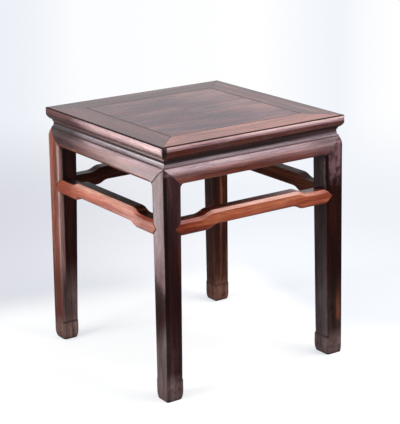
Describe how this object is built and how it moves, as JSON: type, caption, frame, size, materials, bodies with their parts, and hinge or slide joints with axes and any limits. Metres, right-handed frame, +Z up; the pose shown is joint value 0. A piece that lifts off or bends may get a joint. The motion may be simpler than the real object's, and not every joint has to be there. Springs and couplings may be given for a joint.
{
  "type": "square waisted table",
  "caption": "Square waisted hardwood table with a mitred frame-and-panel top, bulging aprons, humpback stretchers and square legs ending in small inward hoof feet.",
  "frame": {"origin": "on the floor under the middle of the top", "axes": "+Z up, -Y front, +X to the right of someone facing the front"},
  "size_m": [0.44, 0.44, 0.51],
  "materials": {
    "top_frame": "satin, polished dark rosewood",
    "panel": "satin, polished dark rosewood, grain along the front",
    "hidden_wood": "planed, unpolished",
    "waist": "satin, polished dark rosewood",
    "apron": "satin, polished dark rosewood",
    "leg": "satin, polished dark rosewood",
    "stretcher": "satin, polished red-brown rosewood"
  },
  "bodies": {
    "root": {"frame_rail_front": "top_frame", "frame_rail_right": "top_frame", "frame_rail_back": "top_frame", "frame_rail_left": "top_frame", "panel_board": "panel", "panel_batten_left": "hidden_wood", "panel_batten_right": "hidden_wood", "waist_front": "waist", "apron_front": "apron", "stretcher_front": "stretcher", "waist_right": "waist", "apron_right": "apron", "stretcher_right": "stretcher", "waist_back": "waist", "apron_back": "apron", "stretcher_back": "stretcher", "waist_left": "waist", "apron_left": "apron", "stretcher_left": "stretcher", "leg_front_right": "leg", "leg_back_left": "leg", "leg_front_left": "leg", "leg_back_right": "leg"}
  },
  "joints": []
}
